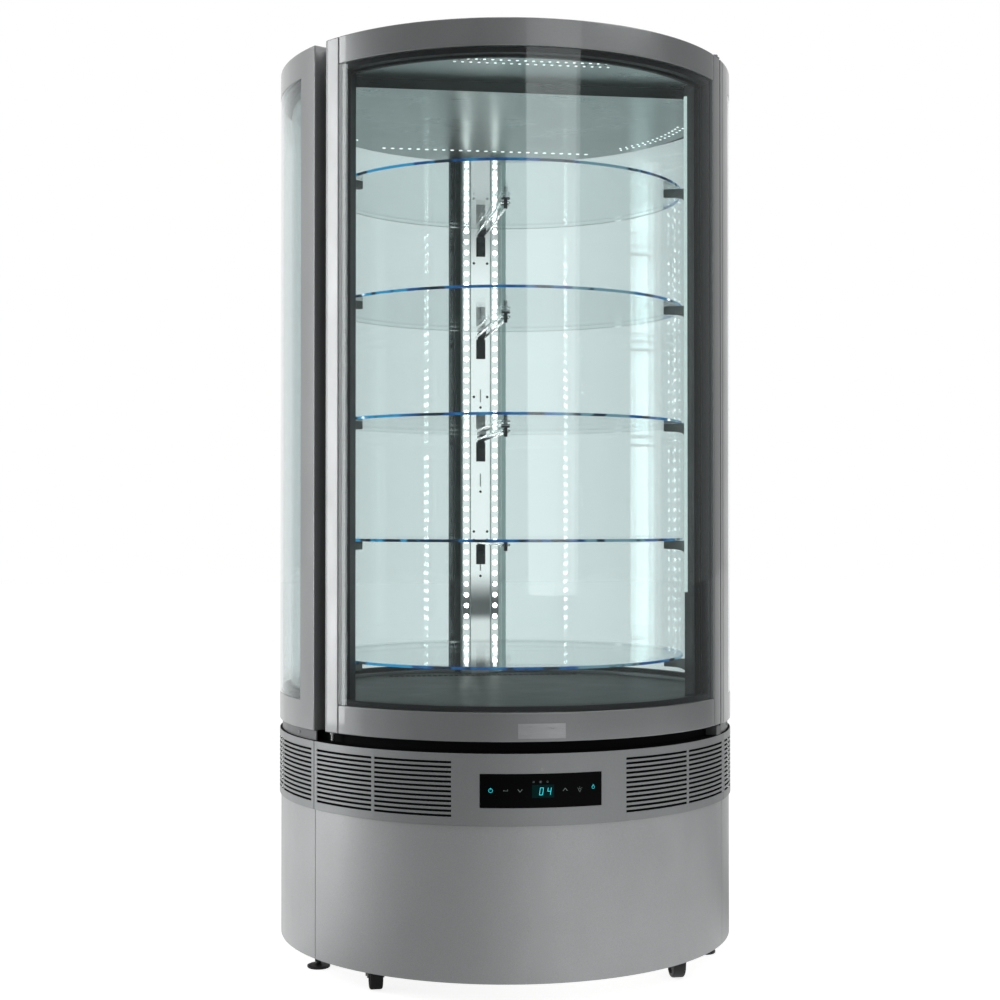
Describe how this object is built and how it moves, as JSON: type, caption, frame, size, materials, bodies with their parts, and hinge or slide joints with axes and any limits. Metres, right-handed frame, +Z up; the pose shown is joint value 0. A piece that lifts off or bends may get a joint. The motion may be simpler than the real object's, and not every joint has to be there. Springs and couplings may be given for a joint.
{
  "type": "round refrigerated display cabinet",
  "caption": "Cylindrical glass display cabinet, cooled, with a curved swinging door, round glass shelves on a rear column, and a machine base with slotted bands, castors and levelling feet.",
  "frame": {"origin": "on the cabinet's vertical axis, at the floor", "axes": "+Z up; -Y to the front, where the middle of the door is; +X to the right as seen from the front, where the door's hinge is"},
  "size_m": [0.93, 0.93, 1.7964],
  "materials": {
    "steel_grey": "satin",
    "skirt_grey": "fine texture, satin",
    "stainless": "brushed",
    "dark_metal": "satin",
    "rubber": "matt",
    "black_plastic": "matt",
    "clear_glass": "polished",
    "black_glass": "gloss",
    "chrome": "polished",
    "foam": "foamed, sheet faced",
    "coil": "finned",
    "zinc": "zinc plated, satin"
  },
  "bodies": {
    "cabinet": {"base_frame": "zinc", "ceiling_panel": "stainless", "compressor": "black_plastic", "condenser": "coil", "condenser_fan_motor": "dark_metal", "control_glass": "black_glass", "control_module": "black_plastic", "cord_gland": "rubber", "deck_plate": "stainless", "deck_ring": "dark_metal", "evaporator_coil": "coil", "evaporator_fan_motor": "dark_metal", "grille_front": "steel_grey", "grille_left": "steel_grey", "grille_right": "steel_grey", "hinge_bottom": "steel_grey", "hinge_top": "steel_grey", "insulated_deck": "foam", "post_left": "dark_metal", "post_right": "dark_metal", "rear_column": "stainless", "roof_cap": "skirt_grey", "shelf_1": "clear_glass", "shelf_2": "clear_glass", "shelf_3": "clear_glass", "shelf_4": "clear_glass", "shelf_5": "clear_glass", "shelf_arm_1": "chrome", "shelf_arm_2": "chrome", "shelf_arm_3": "chrome", "shelf_arm_4": "chrome", "shelf_arm_5": "chrome", "side_frame_left": "steel_grey", "side_frame_right": "steel_grey", "side_inner_glass_left": "clear_glass", "side_inner_glass_right": "clear_glass", "side_outer_glass_left": "clear_glass", "side_outer_glass_right": "clear_glass", "skirt_front": "skirt_grey", "skirt_left": "skirt_grey", "skirt_right": "skirt_grey"},
    "door": {"door_hinge_stile": "steel_grey", "door_latch_stile": "steel_grey", "door_bottom_rail": "steel_grey", "door_top_rail": "steel_grey", "door_outer_glass": "clear_glass", "door_inner_glass": "clear_glass", "door_gasket": "rubber"},
    "castor_fork_front_left": {"castor_fork_front_left": "zinc"},
    "castor_wheel_front_left": {"castor_wheel_front_left": "rubber"},
    "castor_fork_front_right": {"castor_fork_front_right": "zinc"},
    "castor_wheel_front_right": {"castor_wheel_front_right": "rubber"},
    "castor_fork_rear_left": {"castor_fork_rear_left": "zinc"},
    "castor_wheel_rear_left": {"castor_wheel_rear_left": "rubber"},
    "castor_fork_rear_right": {"castor_fork_rear_right": "zinc"},
    "castor_wheel_rear_right": {"castor_wheel_rear_right": "rubber"},
    "levelling_foot_left": {"levelling_foot_left": "rubber"},
    "levelling_foot_right": {"levelling_foot_right": "rubber"},
    "condenser_fan": {"condenser_fan": "black_plastic"},
    "evaporator_fan": {"evaporator_fan": "black_plastic"}
  },
  "joints": [
    {"name": "door_hinge", "type": "hinge", "parent": "cabinet", "child": "door", "pos_m": [0.38131, -0.2519, 1.1], "axis": [0, 0, 1], "range_deg": [0, 105]},
    {"name": "castor_swivel_front_left", "type": "hinge", "parent": "cabinet", "child": "castor_fork_front_left", "pos_m": [-0.28899, -0.28103, 0.075], "axis": [0, 0, 1], "continuous": true},
    {"name": "castor_axle_front_left", "type": "hinge", "parent": "castor_fork_front_left", "child": "castor_wheel_front_left", "pos_m": [-0.28899, -0.30303, 0.03], "axis": [1, 0, 0], "continuous": true},
    {"name": "castor_swivel_front_right", "type": "hinge", "parent": "cabinet", "child": "castor_fork_front_right", "pos_m": [0.28899, -0.28103, 0.075], "axis": [0, 0, 1], "continuous": true},
    {"name": "castor_axle_front_right", "type": "hinge", "parent": "castor_fork_front_right", "child": "castor_wheel_front_right", "pos_m": [0.28899, -0.30303, 0.03], "axis": [1, 0, 0], "continuous": true},
    {"name": "castor_swivel_rear_left", "type": "hinge", "parent": "cabinet", "child": "castor_fork_rear_left", "pos_m": [-0.28899, 0.28103, 0.075], "axis": [0, 0, 1], "continuous": true},
    {"name": "castor_axle_rear_left", "type": "hinge", "parent": "castor_fork_rear_left", "child": "castor_wheel_rear_left", "pos_m": [-0.28899, 0.25903, 0.03], "axis": [1, 0, 0], "continuous": true},
    {"name": "castor_swivel_rear_right", "type": "hinge", "parent": "cabinet", "child": "castor_fork_rear_right", "pos_m": [0.28899, 0.28103, 0.075], "axis": [0, 0, 1], "continuous": true},
    {"name": "castor_axle_rear_right", "type": "hinge", "parent": "castor_fork_rear_right", "child": "castor_wheel_rear_right", "pos_m": [0.28899, 0.25903, 0.03], "axis": [1, 0, 0], "continuous": true},
    {"name": "foot_screw_left", "type": "slide", "parent": "cabinet", "child": "levelling_foot_left", "axis": [0, 0, 1], "range_m": [0, 0.02]},
    {"name": "foot_screw_right", "type": "slide", "parent": "cabinet", "child": "levelling_foot_right", "axis": [0, 0, 1], "range_m": [0, 0.02]},
    {"name": "condenser_fan_spin", "type": "hinge", "parent": "cabinet", "child": "condenser_fan", "pos_m": [-0.06, -0.182, 0.1871], "axis": [0, 1, 0], "continuous": true},
    {"name": "evaporator_fan_spin", "type": "hinge", "parent": "cabinet", "child": "evaporator_fan", "pos_m": [0, 0.064, 0.4374], "axis": [0, 1, 0], "continuous": true}
  ]
}
